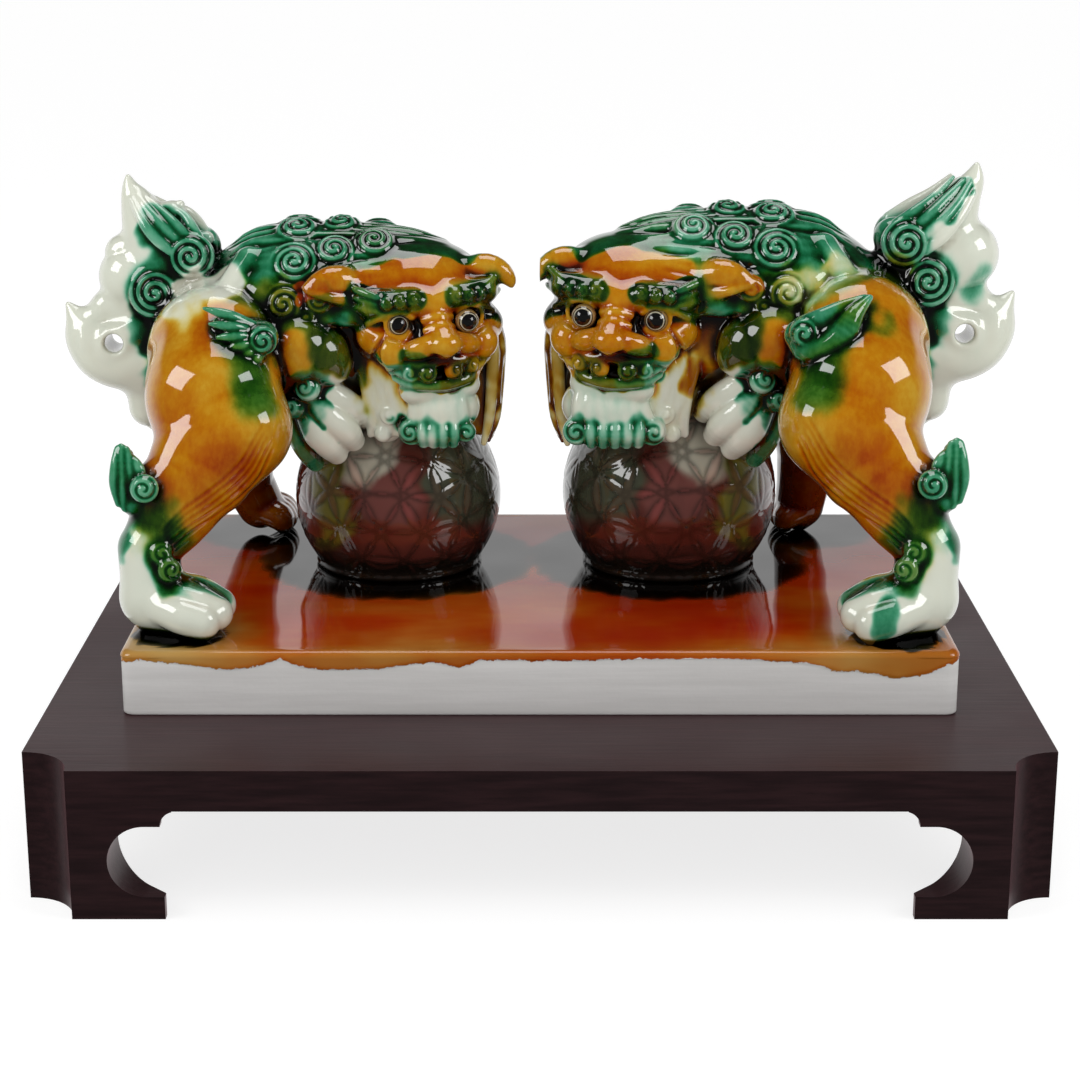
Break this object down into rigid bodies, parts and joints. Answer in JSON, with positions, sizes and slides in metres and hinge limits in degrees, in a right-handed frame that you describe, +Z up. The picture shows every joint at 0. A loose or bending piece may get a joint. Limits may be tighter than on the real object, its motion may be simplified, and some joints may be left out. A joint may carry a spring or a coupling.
{
  "type": "foo dog statue",
  "caption": "Pair of glazed ceramic guardian lions, each with a paw on a brocade ball, on one ceramic slab that rests on a wooden stand with bracket feet.",
  "frame": {"origin": "centre of the stand's footprint, on the surface it stands on", "axes": "+X along the stand's length, from the left lion to the right one; +Y away from the viewer; +Z up"},
  "size_m": [0.4098, 0.33, 0.2689],
  "materials": {
    "stand_wood": "dark mahogany lacquer, satin",
    "dowel_wood": "bare",
    "slab_body": "bare white body on the sides, running brown glaze on top",
    "amber_glaze": "glossy amber lead glaze",
    "brown_glaze": "glossy dark brown glaze",
    "green_glaze": "glossy copper green glaze",
    "cream_glaze": "glossy clear glaze over white body",
    "black_glaze": "glossy black",
    "ball_glaze": "glossy maroon glaze with olive runs"
  },
  "bodies": {
    "stand": {"stand_board": "stand_wood", "foot_front_left": "stand_wood", "foot_front_right": "stand_wood", "foot_back_left": "stand_wood", "foot_back_right": "stand_wood", "foot_dowels": "dowel_wood"},
    "statue": {"slab": "slab_body", "left_torso": "amber_glaze", "left_head": "amber_glaze", "left_mane": "green_glaze", "left_chest_ruff": "cream_glaze", "left_side_locks": "brown_glaze", "left_beard": "cream_glaze", "left_near_ear": "amber_glaze", "left_far_ear": "amber_glaze", "left_near_eye": "black_glaze", "left_far_eye": "black_glaze", "left_near_brow": "green_glaze", "left_far_brow": "green_glaze", "left_near_foreleg": "amber_glaze", "left_far_foreleg": "brown_glaze", "left_near_hind_leg": "amber_glaze", "left_far_hind_leg": "brown_glaze", "left_near_hock_tuft": "green_glaze", "left_far_hock_tuft": "green_glaze", "left_hip_flame": "green_glaze", "left_tail": "cream_glaze", "left_tail_curls": "green_glaze", "left_mane_curls": "green_glaze", "left_ball": "ball_glaze", "right_torso": "amber_glaze", "right_head": "amber_glaze", "right_mane": "green_glaze", "right_chest_ruff": "cream_glaze", "right_side_locks": "brown_glaze", "right_beard": "cream_glaze", "right_near_ear": "amber_glaze", "right_far_ear": "amber_glaze", "right_near_eye": "black_glaze", "right_far_eye": "black_glaze", "right_near_brow": "green_glaze", "right_far_brow": "green_glaze", "right_near_foreleg": "amber_glaze", "right_far_foreleg": "brown_glaze", "right_near_hind_leg": "amber_glaze", "right_far_hind_leg": "brown_glaze", "right_near_hock_tuft": "green_glaze", "right_far_hock_tuft": "green_glaze", "right_hip_flame": "green_glaze", "right_tail": "cream_glaze", "right_tail_curls": "green_glaze", "right_mane_curls": "green_glaze", "right_ball": "ball_glaze"}
  },
  "joints": [
    {"name": "statue_lift", "type": "slide", "parent": "stand", "child": "statue", "axis": [0, 0, 1], "range_m": [0, 0.06]}
  ]
}
